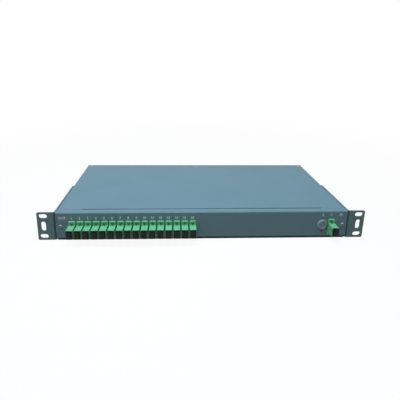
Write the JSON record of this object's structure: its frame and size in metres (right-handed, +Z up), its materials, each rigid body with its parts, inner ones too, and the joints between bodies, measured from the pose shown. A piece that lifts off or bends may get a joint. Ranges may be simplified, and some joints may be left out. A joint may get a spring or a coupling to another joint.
{
  "type": "rack-mount plc fibre splitter",
  "caption": "One-unit rack case holding an optical splitter, with a row of capped green output ports and a capped input port on its front, between two slotted ears.",
  "frame": {"origin": "centre of the four level rack slots, on the plane where the backs of the ears meet the rack's rails", "axes": "+Z up, -Y out of the front, +X to the right as seen from the front"},
  "size_m": [0.4826, 0.22, 0.0436],
  "materials": {
    "case_paint": "fine-textured satin powder coat, dark blue grey",
    "ear_paint": "fine-textured satin powder coat, dark grey",
    "adapter_green": "moulded, semi-gloss green",
    "cap_black": "soft moulded, black",
    "plug_grey": "moulded grey",
    "screw_steel": "zinc plated",
    "screw_black": "black oxide",
    "sleeve_ceramic": "polished white zirconia",
    "connector_green": "moulded green",
    "lead_white": "matte jacket",
    "spool_plastic": "moulded black",
    "module_plastic": "moulded light grey",
    "spacer_metal": "turned"
  },
  "bodies": {
    "chassis": {"alignment_sleeves": "sleeve_ceramic", "chassis_base": "case_paint", "cover_screws": "screw_steel", "ear_screws": "screw_steel", "flange_screws": "screw_black", "foot_screws": "screw_steel", "front_panel": "case_paint", "hole_plug": "plug_grey", "inner_connectors": "connector_green", "input_adapter": "adapter_green", "input_lead": "lead_white", "left_ear": "ear_paint", "module_screws": "screw_steel", "module_spacers": "spacer_metal", "output_adapter_01": "adapter_green", "output_adapter_02": "adapter_green", "output_adapter_03": "adapter_green", "output_adapter_04": "adapter_green", "output_adapter_05": "adapter_green", "output_adapter_06": "adapter_green", "output_adapter_07": "adapter_green", "output_adapter_08": "adapter_green", "output_adapter_09": "adapter_green", "output_adapter_10": "adapter_green", "output_adapter_11": "adapter_green", "output_adapter_12": "adapter_green", "output_adapter_13": "adapter_green", "output_adapter_14": "adapter_green", "output_adapter_15": "adapter_green", "output_adapter_16": "adapter_green", "output_leads": "lead_white", "panel_screws": "screw_steel", "right_ear": "ear_paint", "splitter_module": "module_plastic", "spool_left": "spool_plastic", "spool_right": "spool_plastic", "spool_screws": "screw_steel", "top_cover": "case_paint"},
    "input_dust_cap": {"input_cap": "cap_black"},
    "output_dust_cap_01": {"output_cap_01": "cap_black"},
    "output_dust_cap_02": {"output_cap_02": "cap_black"},
    "output_dust_cap_03": {"output_cap_03": "cap_black"},
    "output_dust_cap_04": {"output_cap_04": "cap_black"},
    "output_dust_cap_05": {"output_cap_05": "cap_black"},
    "output_dust_cap_06": {"output_cap_06": "cap_black"},
    "output_dust_cap_07": {"output_cap_07": "cap_black"},
    "output_dust_cap_08": {"output_cap_08": "cap_black"},
    "output_dust_cap_09": {"output_cap_09": "cap_black"},
    "output_dust_cap_10": {"output_cap_10": "cap_black"},
    "output_dust_cap_11": {"output_cap_11": "cap_black"},
    "output_dust_cap_12": {"output_cap_12": "cap_black"},
    "output_dust_cap_13": {"output_cap_13": "cap_black"},
    "output_dust_cap_14": {"output_cap_14": "cap_black"},
    "output_dust_cap_15": {"output_cap_15": "cap_black"},
    "output_dust_cap_16": {"output_cap_16": "cap_black"}
  },
  "joints": [
    {"name": "input_dust_cap_pull", "type": "slide", "parent": "chassis", "child": "input_dust_cap", "axis": [0, -1, 0], "range_m": [0, 0.012]},
    {"name": "output_dust_cap_01_pull", "type": "slide", "parent": "chassis", "child": "output_dust_cap_01", "axis": [0, -1, 0], "range_m": [0, 0.012]},
    {"name": "output_dust_cap_02_pull", "type": "slide", "parent": "chassis", "child": "output_dust_cap_02", "axis": [0, -1, 0], "range_m": [0, 0.012]},
    {"name": "output_dust_cap_03_pull", "type": "slide", "parent": "chassis", "child": "output_dust_cap_03", "axis": [0, -1, 0], "range_m": [0, 0.012]},
    {"name": "output_dust_cap_04_pull", "type": "slide", "parent": "chassis", "child": "output_dust_cap_04", "axis": [0, -1, 0], "range_m": [0, 0.012]},
    {"name": "output_dust_cap_05_pull", "type": "slide", "parent": "chassis", "child": "output_dust_cap_05", "axis": [0, -1, 0], "range_m": [0, 0.012]},
    {"name": "output_dust_cap_06_pull", "type": "slide", "parent": "chassis", "child": "output_dust_cap_06", "axis": [0, -1, 0], "range_m": [0, 0.012]},
    {"name": "output_dust_cap_07_pull", "type": "slide", "parent": "chassis", "child": "output_dust_cap_07", "axis": [0, -1, 0], "range_m": [0, 0.012]},
    {"name": "output_dust_cap_08_pull", "type": "slide", "parent": "chassis", "child": "output_dust_cap_08", "axis": [0, -1, 0], "range_m": [0, 0.012]},
    {"name": "output_dust_cap_09_pull", "type": "slide", "parent": "chassis", "child": "output_dust_cap_09", "axis": [0, -1, 0], "range_m": [0, 0.012]},
    {"name": "output_dust_cap_10_pull", "type": "slide", "parent": "chassis", "child": "output_dust_cap_10", "axis": [0, -1, 0], "range_m": [0, 0.012]},
    {"name": "output_dust_cap_11_pull", "type": "slide", "parent": "chassis", "child": "output_dust_cap_11", "axis": [0, -1, 0], "range_m": [0, 0.012]},
    {"name": "output_dust_cap_12_pull", "type": "slide", "parent": "chassis", "child": "output_dust_cap_12", "axis": [0, -1, 0], "range_m": [0, 0.012]},
    {"name": "output_dust_cap_13_pull", "type": "slide", "parent": "chassis", "child": "output_dust_cap_13", "axis": [0, -1, 0], "range_m": [0, 0.012]},
    {"name": "output_dust_cap_14_pull", "type": "slide", "parent": "chassis", "child": "output_dust_cap_14", "axis": [0, -1, 0], "range_m": [0, 0.012]},
    {"name": "output_dust_cap_15_pull", "type": "slide", "parent": "chassis", "child": "output_dust_cap_15", "axis": [0, -1, 0], "range_m": [0, 0.012]},
    {"name": "output_dust_cap_16_pull", "type": "slide", "parent": "chassis", "child": "output_dust_cap_16", "axis": [0, -1, 0], "range_m": [0, 0.012]}
  ]
}
